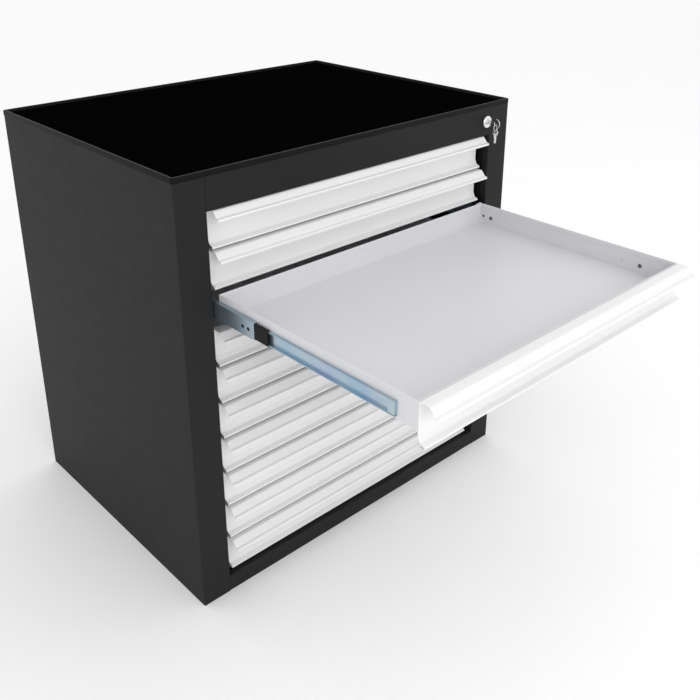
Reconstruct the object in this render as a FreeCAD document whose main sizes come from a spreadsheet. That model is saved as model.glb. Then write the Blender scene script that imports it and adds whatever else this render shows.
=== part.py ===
import os
import re

import FreeCAD
import Part
import Sketcher

Vector = FreeCAD.Vector

# The points of a sketched line or circle
START = 1
END = 2
CENTRE = 3

# Drawer cabinet: origin at the centre of the base on the floor, +Z up, fronts facing -Y.
# Lengths are in millimetres and angles in degrees.
SIZES = {
    # Folded steel shell
    "cabinet_width": 1000,
    "cabinet_depth": 750,
    "shell_sheet": 1.5,
    "shell_bend": 2.5,
    "stile_width": 72,
    "stile_bend": 2,
    "stile_return": 20,
    "rear_flange": 20,
    "top_rail_height": 71,
    "bottom_rail_height": 42,
    "rail_return": 18,
    "rail_lip": 10,
    "pan_height": 25,
    # Black rim tray on the top, and the mat that lies in it
    "rim_height": 12,
    "rim_overhang": 2,
    "rim_lip": 8,
    "rim_floor": 3,
    "rim_corner": 6,
    "rim_roll": 1.5,
    "mat_thickness": 4,
    "mat_gap": 1.5,
    # Drawers
    "drawer_count": 10,
    "drawer_height": 88.5,
    "open_drawer": 3,
    "drawer_gap": 4,
    "opening_gap": 2,
    "side_gap": 15.5,
    "travel": 576,
    "recess_depth": 27,
    "front_sheet": 1.2,
    "front_bend": 2.4,
    "recess_bend": 7,
    "knee_reach": 5,
    "knee_drop": 12.5,
    "lip_reach": 15,
    "lip_drop": 4,
    "lip_height": 4,
    "lip_return": 12,
    "lip_bend": 1,
    "grip_flat": 23,
    "grip_step_reach": 12,
    "grip_step_drop": 13.5,
    "grip_reach": 42,
    "grip_drop": 14.5,
    "grip_bend": 3,
    "nose_height": 5,
    "tray_tail": 21.2,
    "tray_height": 54,
    "tray_sheet": 1.2,
    "hem_height": 9,
    "hem_thickness": 2.4,
    # Ball bearing slides
    "slide_length": 480,
    "slide_setback": 47,
    "slide_height": 45.7,
    "slide_thickness": 12.7,
    "slide_play": 0.3,
    "slide_drop": 33,
    "slide_sheet": 1.2,
    "slide_bend": 1.8,
    "outer_reach": 9.5,
    "outer_lip": 3.6,
    "middle_ratio": 0.351,
    "middle_height": 37,
    "middle_web_gap": 2.6,
    "middle_reach": 8.6,
    "middle_slot": 6,
    "middle_slot_spacing": 18,
    "inner_height": 28.6,
    "inner_reach": 7,
    "cage_clearance": 0.4,
    "cage_lead": 40,
    "cage_length": 130,
    "catch_length": 16,
    "catch_thickness": 4.8,
    "catch_clearance": 0.3,
    "rivet_diameter": 5,
    "rivet_head": 9,
    "rivet_height": 1.6,
    "rivet_clearance": 0.2,
    "rivet_front_inset": 40,
    "rivet_rear_inset": 14,
    "spare_hole": 7,
    "spare_hole_inset": 10,
    "small_hole": 4,
    "small_hole_inset": 85,
    # Posts that carry the slides
    "post_sheet": 2,
    "post_depth": 60,
    "post_tail": 20,
    "post_slot_width": 5,
    "post_slot_height": 14,
    # Lock in the top rail, its rod and the bar behind the drawers
    "lock_inset": 85.5,
    "lock_drop": 35,
    "lock_turn": 90,
    "collar_diameter": 31,
    "collar_height": 6,
    "collar_round": 3,
    "barrel_diameter": 19,
    "barrel_length": 30,
    "barrel_clearance": 0.2,
    "nut_diameter": 27,
    "nut_height": 4,
    "plug_diameter": 12,
    "plug_clearance": 0.1,
    "plug_proud": 1,
    "plug_tail": 4,
    "keyway_depth": 16,
    "keyway_clearance": 0.15,
    "rod_diameter": 8,
    "rod_hole_clearance": 0.5,
    "crank_radius": 8,
    "crank_sheet": 4,
    "crank_width": 14,
    "crank_margin": 4,
    "pin_diameter": 5,
    "pin_clearance": 0.6,
    "bar_sheet": 3,
    "bar_width": 9.5,
    "bar_foot": 26,
    "bar_wall": 5,
    "bar_clearance": 1.5,
    "crank_gap": 4,
    "tab_height": 6,
    "tab_drop": 2.5,
    "tab_sheet": 3,
    "tab_reach": 8,
    "tab_root": 26,
    "tab_setback": 6,
    "tab_gap": 2,
    "guide_height": 8,
    "guide_clearance": 0.6,
    "guide_wall": 2,
    "hanger_width": 20,
    "hanger_sheet": 2,
    "hanger_flange": 18,
    "hanger_setback": 30,
    # Keys and their ring
    "key_thickness": 2,
    "key_bow": 24,
    "key_hole": 9,
    "key_reach": 35,
    "key_blade": 8,
    "key_shoulder": 3,
    "key_end_gap": 1,
    "ring_diameter": 14,
    "ring_wire": 1.6,
    "ring_clearance": 0.12,
    "spare_bow": 16,
    "spare_rim": 2,
    "spare_hole_diameter": 5,
    "spare_length": 36,
    "spare_blade": 6,
    "spare_contact": 0.05,
    "tooth_count": 4,
    "tooth_width": 3.4,
    "tooth_depth": 1.6,
    # Rivets down the rear flanges
    "panel_rivet": 8,
    "panel_rivet_height": 2.2,
    "panel_rivet_rows": 5,
    "panel_rivet_inset": 60,
}

# Sizes that follow from the driving ones
DERIVED = {
    "half_width": "cabinet_width / 2",
    "half_depth": "cabinet_depth / 2",
    "first_level": "bottom_rail_height + drawer_count * drawer_height",
    "rail_bottom": "first_level + opening_gap",
    "body_height": "rail_bottom + top_rail_height",
    "side_height": "body_height - shell_sheet",
    "opening_half": "half_width - stile_width",
    "inside_half": "half_width - shell_sheet",
    "frame_back": "stile_return - half_depth",
    "rear_face": "half_depth - 2 * shell_sheet",
    "recess_plane": "recess_depth - half_depth",
    "front_back": "recess_plane + front_sheet",
    "front_height": "drawer_height - drawer_gap",
    "recess_height": "front_height - knee_drop - lip_drop - lip_height",
    "tray_half": "opening_half - side_gap",
    "tray_rear": "slide_rear + tray_tail",
    "post_face": "tray_half + slide_thickness + slide_play",
    "slide_front": "recess_plane + slide_setback",
    "slide_rear": "slide_front + slide_length",
    "middle_half": "middle_height / 2",
    "inner_half": "inner_height / 2",
    "cage_half": "middle_half - slide_sheet - cage_clearance",
    "cage_web": "post_face - middle_web_gap - slide_sheet - cage_clearance",
    "lock_side": "half_width - lock_inset",
    "lock_height": "body_height - lock_drop",
    "plug_face": "0 - half_depth - collar_height - plug_proud",
    "plug_back": "0 - half_depth + barrel_length + plug_tail",
    "bar_front": "tray_rear + tab_gap",
    "bar_back": "bar_front + bar_sheet",
    "tab_front": "bar_back + tab_gap",
    "bar_inner": "tray_half + tab_reach + bar_clearance",
    "bar_outer": "bar_inner + bar_width",
    "crank_back": "bar_front - crank_gap",
    "crank_front": "crank_back - crank_sheet",
    "crank_drop": "crank_radius * cos(lock_turn / 2)",
    "crank_swing": "crank_radius * sin(lock_turn / 2)",
    "bow_centre": "plug_face - key_reach + key_bow / 2",
    "band_width": "(key_bow - key_hole) / 2",
    "band_middle": "(key_bow + key_hole) / 4",
    "band_swing": "sqrt(band_width * band_width + key_thickness * key_thickness) / 2",
    "ring_centre": "band_swing + ring_clearance + ring_wire / 2 - band_middle - ring_diameter / 2",
    "ring_bottom": "ring_centre - ring_diameter / 2",
    "spare_centre": "ring_bottom + ring_wire / 2 + spare_contact - spare_hole_diameter / 2",
}

TURNS = {
    "XY": FreeCAD.Rotation(),
    "XZ": FreeCAD.Rotation(Vector(1, 0, 0), Vector(0, 0, 1), Vector(0, -1, 0)),
    "YZ": FreeCAD.Rotation(Vector(0, 1, 0), Vector(0, 0, 1), Vector(1, 0, 0)),
}

document = FreeCAD.newDocument("DrawerCabinet")
sheet = document.addObject("Spreadsheet::Sheet", "Sizes")
for row, (alias, size) in enumerate(SIZES.items(), start=1):
    sheet.set(f"A{row}", str(size))
    sheet.setAlias(f"A{row}", alias)
document.recompute()


# Formulas name the sizes; here each name becomes its cell, or the formula it stands for.
def formula(text):
    def expand(match):
        word = match.group(0)
        if word in DERIVED:
            return f"({formula(DERIVED[word])})"
        if word in SIZES:
            return f"Sizes.{word}"
        return word

    return re.sub(r"[a-z][a-z_]*", expand, str(text))


def number(text):
    return float(sheet.evalExpression(formula(text)))


def bind(target, **expressions):
    for path, text in expressions.items():
        target.setExpression(path.replace("__", "."), formula(text))


def place(target, x="0", y="0", z="0"):
    bind(target, Placement__Base__x=x, Placement__Base__y=y, Placement__Base__z=z)


# Sketching: every corner, centre and radius is held by a constraint bound to the sheet.
def constrain(sketch, kind, geometry, text):
    sketch.addConstraint(Sketcher.Constraint(kind, *geometry, number(text)))
    index = sketch.ConstraintCount - 1
    sketch.renameConstraint(index, f"{kind}{index}")
    sketch.setExpression(f"Constraints.{kind}{index}", formula(text))


def hold(sketch, geometry, point, x, y):
    constrain(sketch, "DistanceX", (-1, START, geometry, point), x)
    constrain(sketch, "DistanceY", (-1, START, geometry, point), y)


# A polygon, or an open line when closed is False; bends round the numbered corners.
def draw(sketch, points, closed=True, bends=None):
    corners = [Vector(number(x), number(y), 0) for x, y in points]
    starts = corners if closed else corners[:-1]
    ends = corners[1:] + corners[:1]
    first = sketch.GeometryCount
    count = len(starts)
    for start, end in zip(starts, ends):
        sketch.addGeometry(Part.LineSegment(start, end))
    for index in range(count if closed else count - 1):
        follower = first + (index + 1) % count
        sketch.addConstraint(Sketcher.Constraint("Coincident", first + index, END, follower, START))
    for index, (x, y) in enumerate(points):
        last = index == count
        hold(sketch, first + index - (1 if last else 0), END if last else START, x, y)
    for index, radius in sorted((bends or {}).items(), reverse=True):
        before = sketch.GeometryCount
        sketch.fillet(first + (index - 1) % count, END, number(radius), END, True)
        for arc in range(before, sketch.GeometryCount):
            if isinstance(sketch.Geometry[arc], Part.ArcOfCircle):
                constrain(sketch, "Radius", (arc,), radius)


def draw_rectangle(sketch, low_x, low_y, high_x, high_y, bend=None):
    corners = [(low_x, low_y), (high_x, low_y), (high_x, high_y), (low_x, high_y)]
    draw(sketch, corners, bends={index: bend for index in range(4)} if bend else None)


def draw_circle(sketch, x, y, diameter):
    centre = Vector(number(x), number(y), 0)
    circle = sketch.addGeometry(Part.Circle(centre, Vector(0, 0, 1), number(diameter) / 2))
    hold(sketch, circle, CENTRE, x, y)
    constrain(sketch, "Radius", (circle,), f"({diameter}) / 2")


# A folded sheet: the line of one face, thickened to its right, and carried along the normal.
def folded_sheet(name, plane, points, bends, thickness, start, length):
    line = document.addObject("Sketcher::SketchObject", f"{name}_line")
    line.Placement = FreeCAD.Placement(Vector(), TURNS[plane])
    draw(line, points, closed=False, bends=bends)
    band = document.addObject("Part::Offset2D", f"{name}_band")
    band.Source = line
    band.Mode = "Skin"
    band.Join = "Intersection"
    band.Fill = True
    bind(band, Value=thickness)
    solid = document.addObject("Part::Extrusion", name)
    solid.Base = band
    solid.DirMode = "Custom"
    solid.Dir = TURNS[plane].multVec(Vector(0, 0, 1))
    solid.Solid = True
    bind(solid, LengthFwd=length)
    axis = {"XY": "z", "XZ": "y", "YZ": "x"}[plane]
    place(solid, **{axis: start})
    return solid


def new_body(name):
    return document.addObject("PartDesign::Body", name)


def origin_of(body, role):
    return next(item for item in body.Origin.OriginFeatures if item.Role == role)


# A sketch on one of the body's planes, moved to a station along the axis that it crosses.
def body_sketch(body, name, plane, station="0"):
    sketch = body.newObject("Sketcher::SketchObject", f"{body.Name}_{name}")
    sketch.AttachmentSupport = [(origin_of(body, f"{plane}_Plane"), "")]
    sketch.MapMode = "FlatFace"
    away = f"0 - ({station})" if plane == "XZ" else station
    bind(sketch, AttachmentOffset__Base__z=away)
    return sketch


def pad(body, sketch, length):
    feature = body.newObject("PartDesign::Pad", f"{sketch.Name}_pad")
    feature.Profile = sketch
    bind(feature, Length=length)
    sketch.Visibility = False
    return feature


# A pocket cuts against its sketch's normal, and the volume shows that it met the solid.
def pocket(body, sketch, length, through=False):
    document.recompute()
    before = body.Shape.Volume
    feature = body.newObject("PartDesign::Pocket", f"{sketch.Name}_cut")
    feature.Profile = sketch
    bind(feature, Length=length)
    if through:
        feature.Type = "ThroughAll"
    document.recompute()
    if body.Shape.Volume >= before:
        raise RuntimeError(f"{feature.Name} cuts nothing")
    return feature


def repeat(body, features, axis, length, count, backwards=False):
    feature = body.newObject("PartDesign::LinearPattern", f"{features[0].Name}_row")
    feature.Originals = features
    feature.Direction = (origin_of(body, f"{axis}_Axis"), [""])
    feature.Reversed = backwards
    bind(feature, Length=length, Occurrences=count)
    body.Tip = feature
    return feature


def mirrored(name, source):
    twin = document.addObject("Part::Mirroring", name)
    twin.Source = source
    twin.Base = Vector()
    twin.Normal = Vector(1, 0, 0)
    return twin


def group(name, pieces):
    whole = document.addObject("Part::Compound", name)
    whole.Links = pieces
    return whole


def box(name, low, size):
    block = document.addObject("Part::Box", name)
    bind(block, Length=size[0], Width=size[1], Height=size[2])
    place(block, *low)
    return block


def cylinder(name, diameter, length, x, y, z):
    rod = document.addObject("Part::Cylinder", name)
    rod.Placement = FreeCAD.Placement(Vector(), FreeCAD.Rotation(Vector(1, 0, 0), -90))
    bind(rod, Radius=f"({diameter}) / 2", Height=length)
    place(rod, x, y, z)
    return rod


def cut(name, base, tool):
    result = document.addObject("Part::Cut", name)
    result.Base = base
    result.Tool = tool
    return result


parts = {}


def keep(name, piece):
    piece.Label = name
    parts[name] = piece


# Side panels: the side, its front stile with a return into the opening, and a rear flange.
def make_side_panels():
    line = [
        ("0 - opening_half", "frame_back"),
        ("0 - opening_half", "0 - half_depth"),
        ("0 - half_width", "0 - half_depth"),
        ("0 - half_width", "half_depth"),
        ("rear_flange - half_width", "half_depth"),
    ]
    bends = {1: "stile_bend", 2: "shell_bend", 3: "shell_bend"}
    left = folded_sheet("left_side", "XY", line, bends, "shell_sheet", "0", "side_height")
    keep("left_side_panel", left)
    keep("right_side_panel", mirrored("right_side", left))


# Rear panel: a flat sheet behind the drawers, against the rear flanges.
def make_rear_panel():
    low = ("shell_bend - inside_half", "rear_face", "0")
    size = ("2 * (inside_half - shell_bend)", "shell_sheet", "side_height")
    keep("rear_panel", box("rear", low, size))


# Base: a floor pan turned up at front and back, and the boxed rail under the last drawer.
def make_base_panel():
    pan_line = [
        ("rear_face", "pan_height"),
        ("rear_face", "0"),
        ("frame_back", "0"),
        ("frame_back", "pan_height"),
    ]
    pan_bends = {1: "shell_bend", 2: "shell_bend"}
    pan = folded_sheet(
        "floor_pan", "YZ", pan_line, pan_bends, "shell_sheet", "0 - inside_half", "2 * inside_half"
    )
    rail_line = [
        ("frame_back", "0"),
        ("0 - half_depth", "0"),
        ("0 - half_depth", "bottom_rail_height"),
        ("rail_return - half_depth", "bottom_rail_height"),
        ("rail_return - half_depth", "bottom_rail_height - rail_lip"),
    ]
    rail_bends = {1: "stile_bend", 2: "stile_bend", 3: "stile_bend"}
    rail = folded_sheet(
        "bottom_rail", "YZ", rail_line, rail_bends, "shell_sheet", "0 - opening_half", "2 * opening_half"
    )
    keep("base_panel", group("base", [pan, rail]))


# Top rail: folded like the bottom one, with a flange under the top and a hole for the lock.
def make_top_rail():
    line = [
        ("rail_return - half_depth", "rail_bottom + rail_lip"),
        ("rail_return - half_depth", "rail_bottom"),
        ("0 - half_depth", "rail_bottom"),
        ("0 - half_depth", "side_height"),
        ("rail_return - half_depth", "side_height"),
    ]
    bends = {1: "stile_bend", 2: "stile_bend"}
    rail = folded_sheet(
        "top_rail_sheet", "YZ", line, bends, "shell_sheet", "0 - opening_half", "2 * opening_half"
    )
    hole = cylinder(
        "lock_hole",
        "barrel_diameter + 2 * barrel_clearance",
        "3 * shell_sheet",
        "lock_side",
        "0 - half_depth - shell_sheet",
        "lock_height",
    )
    keep("top_rail", cut("top_rail_drilled", rail, hole))


# Top: a flat sheet over the sides, whose corners follow the bends below.
def make_top_panel():
    body = new_body("top_sheet")
    sketch = body_sketch(body, "outline", "XY", "side_height")
    draw_rectangle(
        sketch, "0 - half_width", "0 - half_depth", "half_width", "half_depth", bend="shell_bend"
    )
    pad(body, sketch, "shell_sheet")
    keep("top_panel", body)


# Rim tray: a moulded tray with a raised lip, a little larger than the top it caps.
def make_top_rim():
    body = new_body("rim_tray")
    outline = body_sketch(body, "outline", "XY", "body_height")
    outer_x = "half_width + rim_overhang"
    outer_y = "half_depth + rim_overhang"
    draw_rectangle(
        outline, f"0 - ({outer_x})", f"0 - ({outer_y})", outer_x, outer_y, bend="rim_corner"
    )
    pad(body, outline, "rim_height")
    well = body_sketch(body, "well", "XY", "body_height + rim_height")
    inner_x = "half_width + rim_overhang - rim_lip"
    inner_y = "half_depth + rim_overhang - rim_lip"
    draw_rectangle(well, f"0 - ({inner_x})", f"0 - ({inner_y})", inner_x, inner_y, bend="rim_corner")
    floor_cut = pocket(body, well, "rim_height - rim_floor")
    lip_side = number("body_height + rim_height - rim_roll")
    edges = []
    for index, edge in enumerate(floor_cut.Shape.Edges, start=1):
        bounds = edge.BoundBox
        if bounds.ZMin > lip_side:
            edges.append(f"Edge{index}")
    roll = body.newObject("PartDesign::Chamfer", "rim_roll_edges")
    roll.Base = (floor_cut, edges)
    bind(roll, Size="rim_roll")
    keep("top_rim", body)


# Mat: a flat rubber sheet that fills the rim tray.
def make_top_mat():
    body = new_body("mat")
    sketch = body_sketch(body, "outline", "XY", "body_height + rim_floor")
    edge_x = "half_width + rim_overhang - rim_lip - mat_gap"
    edge_y = "half_depth + rim_overhang - rim_lip - mat_gap"
    draw_rectangle(sketch, f"0 - ({edge_x})", f"0 - ({edge_y})", edge_x, edge_y, bend="rim_corner")
    pad(body, sketch, "mat_thickness")
    keep("top_mat", body)


# Posts: two channels on each side, slotted once for every drawer.
def make_uprights():
    body = new_body("left_posts")
    outline = body_sketch(body, "outline", "XY", "shell_sheet")
    front = "frame_back + shell_bend"
    rear = "slide_rear + post_tail"
    for start, end in ((front, f"{front} + post_depth"), (f"{rear} - post_depth", rear)):
        corners = [
            ("0 - inside_half", start),
            ("0 - post_face", start),
            ("0 - post_face", end),
            ("0 - inside_half", end),
            ("0 - inside_half", f"{end} - post_sheet"),
            ("0 - post_face - post_sheet", f"{end} - post_sheet"),
            ("0 - post_face - post_sheet", f"{start} + post_sheet"),
            ("0 - inside_half", f"{start} + post_sheet"),
        ]
        draw(outline, corners)
    pad(body, outline, "side_height - shell_sheet")
    slots = body_sketch(body, "slots", "YZ", "0 - post_face")
    level = "first_level - slide_drop - drawer_height / 2"
    for middle in (f"{front} + post_depth / 2", f"{rear} - post_depth / 2"):
        draw_rectangle(
            slots,
            f"{middle} - post_slot_width / 2",
            f"{level} - post_slot_height / 2",
            f"{middle} + post_slot_width / 2",
            f"{level} + post_slot_height / 2",
        )
    slot = pocket(body, slots, "2 * post_sheet")
    repeat(body, [slot], "Z", "(drawer_count - 1) * drawer_height", "drawer_count", backwards=True)
    keep("left_uprights", body)
    keep("right_uprights", mirrored("right_posts", body))


# One length of slide: a channel whose web is at one side and whose flanges reach from it.
def channel(name, web, reach, half, middle, front, length, lip=None):
    body = new_body(name)
    outline = body_sketch(body, "outline", "XZ", f"{front} + {length}")
    sign = "-" if float(number(reach)) > 0 else "+"
    tip = f"{web} - ({reach})"
    inner = f"{web} {sign} slide_sheet"
    corners = [(web, f"{middle} - ({half})"), (web, f"{middle} + ({half})")]
    corners.append((tip, f"{middle} + ({half})"))
    if lip:
        curl = f"{tip} + slide_sheet"
        corners.append((tip, f"{middle} + ({half}) - ({lip})"))
        corners.append((curl, f"{middle} + ({half}) - ({lip})"))
        corners.append((curl, f"{middle} + ({half}) - slide_sheet"))
    else:
        corners.append((tip, f"{middle} + ({half}) - slide_sheet"))
    corners.append((inner, f"{middle} + ({half}) - slide_sheet"))
    corners.append((inner, f"{middle} - ({half}) + slide_sheet"))
    if lip:
        corners.append((curl, f"{middle} - ({half}) + slide_sheet"))
        corners.append((curl, f"{middle} - ({half}) + ({lip})"))
        corners.append((tip, f"{middle} - ({half}) + ({lip})"))
    else:
        corners.append((tip, f"{middle} - ({half}) + slide_sheet"))
    corners.append((tip, f"{middle} - ({half})"))
    draw(outline, corners, bends={0: "slide_bend", 1: "slide_bend"})
    pad(body, outline, length)
    return body


# Outer channels: one for each drawer on each side, screwed to the posts.
def make_outer_channels():
    body = channel(
        "outer_channel",
        "post_face",
        "outer_reach",
        "slide_height / 2",
        "first_level - slide_drop",
        "slide_front",
        "slide_length",
        lip="outer_lip",
    )
    repeat(body, [body.Tip], "Z", "(drawer_count - 1) * drawer_height", "drawer_count", backwards=True)
    keep("outer_slide_channels", group("outer_channels", [body, mirrored("outer_left", body)]))


# Middle channels with their ball cages, which lead the channel out of the cabinet.
def make_middle_slides():
    web = "post_face - middle_web_gap"
    body = channel(
        "middle_channel", web, "middle_reach", "middle_half", "0 - slide_drop", "slide_front", "slide_length"
    )
    slots = body_sketch(body, "slots", "YZ", "post_face")
    for middle in ("slide_front + middle_slot_spacing", "slide_front + 2 * middle_slot_spacing"):
        draw_rectangle(
            slots,
            f"{middle} - middle_slot / 2",
            "0 - slide_drop - middle_slot / 2",
            f"{middle} + middle_slot / 2",
            "0 - slide_drop + middle_slot / 2",
            bend="middle_slot / 3",
        )
    pocket(body, slots, "2 * middle_web_gap")
    cage = channel(
        "ball_cage",
        "cage_web",
        "middle_reach - slide_sheet - 2 * cage_clearance",
        "cage_half",
        "0 - slide_drop",
        "slide_front - cage_lead",
        "cage_length",
    )
    right = group("middle_right", [body, cage])
    return group("middle_form", [right, mirrored("middle_left", right)])


# Inner channels: riveted through the tray's sides, with a catch at the front end.
def make_inner_slides():
    web = "tray_half"
    body = channel(
        "inner_channel", web, "0 - inner_reach", "inner_half", "0 - slide_drop", "slide_front", "slide_length"
    )
    holes = body_sketch(body, "rivet_holes", "YZ", "tray_half + inner_reach")
    stations = ("slide_front + rivet_front_inset", "slide_rear - rivet_rear_inset")
    for station in stations:
        draw_circle(holes, station, "0 - slide_drop", "rivet_diameter")
    pocket(body, holes, "inner_reach + slide_sheet")
    catch = box(
        "slide_catch",
        (
            "tray_half + slide_sheet",
            "slide_front + slide_sheet",
            "0 - slide_drop - inner_half + slide_sheet + catch_clearance",
        ),
        ("catch_thickness", "catch_length", "inner_height - 2 * (slide_sheet + catch_clearance)"),
    )
    rivets = new_body("tray_rivets")
    shanks = body_sketch(rivets, "shanks", "YZ", "tray_half - tray_sheet")
    heads = body_sketch(rivets, "heads", "YZ", "tray_half - tray_sheet - rivet_height")
    for station in stations:
        draw_circle(shanks, station, "0 - slide_drop", "rivet_diameter")
        draw_circle(heads, station, "0 - slide_drop", "rivet_head")
    pad(rivets, shanks, "tray_sheet + slide_sheet")
    pad(rivets, heads, "rivet_height")
    right = group("inner_right", [body, catch, rivets])
    return group("inner_form", [right, mirrored("inner_left", right)])


# Tray: a folded box with hemmed edges, holes for the rivets and a tab for the locking bar.
def make_tray():
    body = new_body("tray_form")
    outline = body_sketch(body, "outline", "XY", "0 - tray_height")
    draw_rectangle(outline, "0 - tray_half", "front_back", "tray_half", "tray_rear")
    pad(body, outline, "tray_height")
    mouth = body_sketch(body, "mouth", "XY")
    draw_rectangle(
        mouth,
        "hem_thickness - tray_half",
        "front_back + hem_thickness",
        "tray_half - hem_thickness",
        "tray_rear - hem_thickness",
    )
    pocket(body, mouth, "tray_height - tray_sheet")
    hollow = body_sketch(body, "hollow", "XY", "0 - hem_height")
    draw_rectangle(
        hollow,
        "tray_sheet - tray_half",
        "front_back + tray_sheet",
        "tray_half - tray_sheet",
        "tray_rear - tray_sheet",
    )
    pocket(body, hollow, "tray_height - hem_height - tray_sheet")
    holes = body_sketch(body, "side_holes", "YZ", "tray_half + tray_sheet")
    clear = "rivet_diameter + 2 * rivet_clearance"
    for station in ("slide_front + rivet_front_inset", "slide_rear - rivet_rear_inset"):
        draw_circle(holes, station, "0 - slide_drop", clear)
    draw_circle(holes, "tray_rear - spare_hole_inset", "0 - slide_drop", "spare_hole")
    draw_circle(holes, "slide_front + small_hole_inset", "0 - slide_drop", "small_hole")
    pocket(body, holes, "2 * tray_half", through=True)
    tab = body_sketch(body, "tab", "XY", "0 - tab_drop - tab_height")
    neck = "tray_half - tab_setback"
    tab_corners = [
        ("tray_half - tab_root", "tray_rear"),
        (neck, "tray_rear"),
        (neck, "tab_front"),
        ("tray_half + tab_reach", "tab_front"),
        ("tray_half + tab_reach", "tab_front + tab_sheet"),
        (f"{neck} - tab_sheet", "tab_front + tab_sheet"),
        (f"{neck} - tab_sheet", "tray_rear + tab_sheet"),
        ("tray_half - tab_root", "tray_rear + tab_sheet"),
    ]
    draw(tab, tab_corners)
    pad(body, tab, "tab_height")
    return body


# Front: one sheet folded into the finger grip, the recess below it and the kicked-out lip.
def make_front():
    nose = "recess_plane - grip_reach"
    knee = "0 - recess_height - knee_drop"
    line = [
        (nose, "0 - grip_drop - nose_height"),
        (nose, "0 - grip_drop"),
        ("recess_plane - grip_flat - grip_step_reach", "0 - grip_step_drop"),
        ("recess_plane - grip_flat", "0"),
        ("front_back", "0"),
        ("front_back", "0 - recess_height"),
        ("front_back - knee_reach", knee),
        ("front_back - lip_reach", f"{knee} - lip_drop"),
        ("front_back - lip_reach", "front_sheet - front_height"),
        ("front_back - lip_reach + lip_return", "front_sheet - front_height"),
    ]
    bends = {
        1: "front_bend",
        2: "grip_bend",
        3: "grip_bend",
        4: "front_bend",
        5: "recess_bend",
        6: "recess_bend",
        7: "lip_bend",
        8: "lip_bend",
    }
    return folded_sheet(
        "front_form", "YZ", line, bends, "front_sheet", "0 - tray_half", "2 * tray_half"
    )


# Ten drawers, each a placed copy of the four forms; one stands open on its slides.
def make_drawers():
    forms = {
        "tray": make_tray(),
        "front": make_front(),
        "inner_slides": make_inner_slides(),
        "middle_slides": make_middle_slides(),
    }
    for drawer in range(1, int(SIZES["drawer_count"]) + 1):
        for kind, form in forms.items():
            name = f"drawer_{drawer:02d}_{kind}"
            piece = group(name, [form])
            ratio = "middle_ratio" if kind == "middle_slides" else "1"
            pulled = f"({drawer} == open_drawer ? 0 - travel * {ratio} : 0)"
            place(piece, y=pulled, z=f"first_level - {drawer - 1} * drawer_height")
            keep(name, piece)


# Lock housing: a domed collar on the rail, a barrel through it and the nut behind.
def make_lock_housing():
    body = new_body("lock_barrel")
    sketch = body_sketch(body, "section", "YZ")
    face = "0 - half_depth"
    bore = "plug_diameter / 2 + plug_clearance"
    corners = [
        (f"{face} - collar_height", bore),
        (f"{face} - collar_height", "collar_diameter / 2 - collar_round"),
        (f"{face} - collar_height + collar_round", "collar_diameter / 2"),
        (face, "collar_diameter / 2"),
        (face, "barrel_diameter / 2"),
        (f"{face} + shell_sheet", "barrel_diameter / 2"),
        (f"{face} + shell_sheet", "nut_diameter / 2"),
        (f"{face} + shell_sheet + nut_height", "nut_diameter / 2"),
        (f"{face} + shell_sheet + nut_height", "barrel_diameter / 2"),
        (f"{face} + barrel_length", "barrel_diameter / 2"),
        (f"{face} + barrel_length", bore),
    ]
    draw(sketch, corners)
    turned = body.newObject("PartDesign::Revolution", "lock_barrel_turned")
    turned.Profile = sketch
    turned.ReferenceAxis = (origin_of(body, "Y_Axis"), [""])
    turned.Angle = 360
    place(body, x="lock_side", z="lock_height")
    keep("lock_housing", body)


# Lock plug: a stepped cylinder with the keyway cut into its face.
def make_lock_plug():
    body = new_body("plug")
    sketch = body_sketch(body, "section", "YZ")
    draw_rectangle(sketch, "plug_face", "0", "plug_back", "plug_diameter / 2")
    turned = body.newObject("PartDesign::Revolution", "plug_turned")
    turned.Profile = sketch
    turned.ReferenceAxis = (origin_of(body, "Y_Axis"), [""])
    turned.Angle = 360
    keyway = body_sketch(body, "keyway", "XZ", "plug_face + keyway_depth")
    half_slot = "key_thickness / 2 + keyway_clearance"
    half_blade = "key_blade / 2 + keyway_clearance"
    draw_rectangle(keyway, f"0 - ({half_slot})", f"0 - ({half_blade})", half_slot, half_blade)
    document.recompute()
    before = body.Shape.Volume
    slot = body.newObject("PartDesign::Pocket", "plug_keyway_cut")
    slot.Profile = keyway
    slot.Reversed = True
    bind(slot, Length="keyway_depth")
    document.recompute()
    if body.Shape.Volume >= before:
        raise RuntimeError("the keyway cuts nothing")
    place(body, x="lock_side", z="lock_height")
    keep("lock_plug", body)


# Lock rod: it turns with the plug and ends in a crank whose pin works the bar.
def make_lock_rod():
    body = new_body("rod")
    shaft = body_sketch(body, "shaft", "XZ", "crank_front")
    draw_circle(shaft, "0", "0", "rod_diameter")
    pad(body, shaft, "crank_front - plug_back")
    crank = body_sketch(body, "crank", "XZ", "crank_back")
    side = "crank_width / 2"
    corners = [
        (f"0 - {side}", side),
        (f"0 - {side}", f"0 - {side}"),
        ("crank_swing - crank_margin", "0 - crank_drop - crank_margin"),
        ("crank_swing + crank_margin", "0 - crank_drop - crank_margin"),
        ("crank_swing + crank_margin", "crank_margin - crank_drop"),
        (side, side),
    ]
    draw(crank, corners)
    pad(body, crank, "crank_sheet")
    pin = body_sketch(body, "pin", "XZ", "tab_front")
    draw_circle(pin, "crank_swing", "0 - crank_drop", "pin_diameter")
    pad(body, pin, "tab_front - crank_back")
    place(body, x="lock_side", z="lock_height")
    keep("lock_rod", body)


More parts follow.
